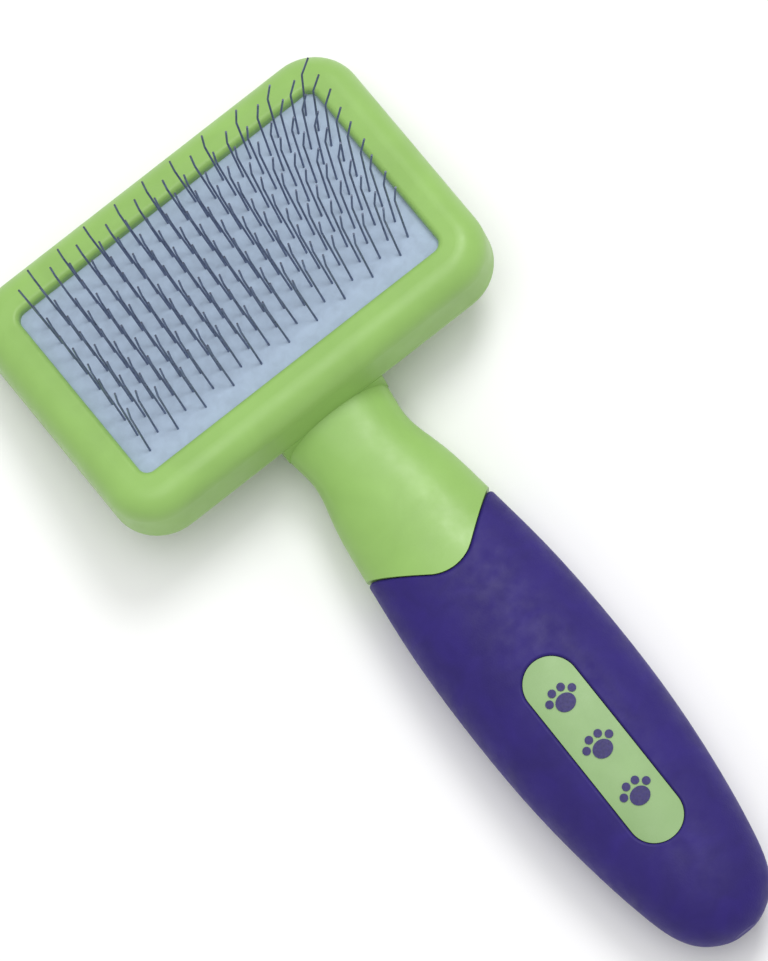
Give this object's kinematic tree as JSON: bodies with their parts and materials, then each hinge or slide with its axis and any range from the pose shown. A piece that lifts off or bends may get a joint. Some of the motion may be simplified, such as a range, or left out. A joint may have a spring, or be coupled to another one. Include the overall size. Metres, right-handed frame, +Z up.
{
  "type": "slicker brush",
  "caption": "Small pet slicker brush: a rectangular cushioned pad of bent wire pins in a rounded plastic head, on an oval soft-grip handle with a lozenge badge.",
  "frame": {"origin": "on the surface the brush lies on, under the middle of its outline", "axes": "+Z up, with the pins pointing up; +Y from the handle towards the far end of the head; X across the head"},
  "size_m": [0.067, 0.1416, 0.028],
  "materials": {
    "green_plastic": "satin moulded, light lime green",
    "badge_green": "satin moulded, slightly duller green",
    "badge_print": "matte purple pad print",
    "purple_grip": "matte soft-touch overmould",
    "foam": "open-cell foam",
    "cloth": "woven card-clothing ply",
    "pad_rubber": "matte blue-grey rubber",
    "pin_wire": "bright drawn wire"
  },
  "bodies": {
    "brush": {"head_frame": "green_plastic", "brush_body": "green_plastic", "handle_core_back": "green_plastic", "handle_grip": "purple_grip", "badge_plate": "badge_green", "badge_marks": "badge_print", "foam_cushion": "foam"},
    "pin_pad": {"rubber_face": "pad_rubber", "cloth_ply_front": "cloth", "cloth_ply_back": "cloth", "pin_row_01": "pin_wire", "pin_row_02": "pin_wire", "pin_row_03": "pin_wire", "pin_row_04": "pin_wire", "pin_row_05": "pin_wire", "pin_row_06": "pin_wire", "pin_row_07": "pin_wire", "pin_row_08": "pin_wire", "pin_row_09": "pin_wire", "pin_row_10": "pin_wire", "pin_row_11": "pin_wire", "pin_row_12": "pin_wire", "pin_row_13": "pin_wire", "pin_row_14": "pin_wire", "pin_row_15": "pin_wire", "pin_row_16": "pin_wire", "pin_row_17": "pin_wire", "pin_row_18": "pin_wire"}
  },
  "joints": [
    {"name": "pin_pad_press", "type": "slide", "parent": "brush", "child": "pin_pad", "axis": [0, -0.2419, -0.9703], "range_m": [0, 0.001], "stiffness_N_per_m": 1500, "springref_m": -0.0004, "deforming": ["foam_cushion"]}
  ]
}
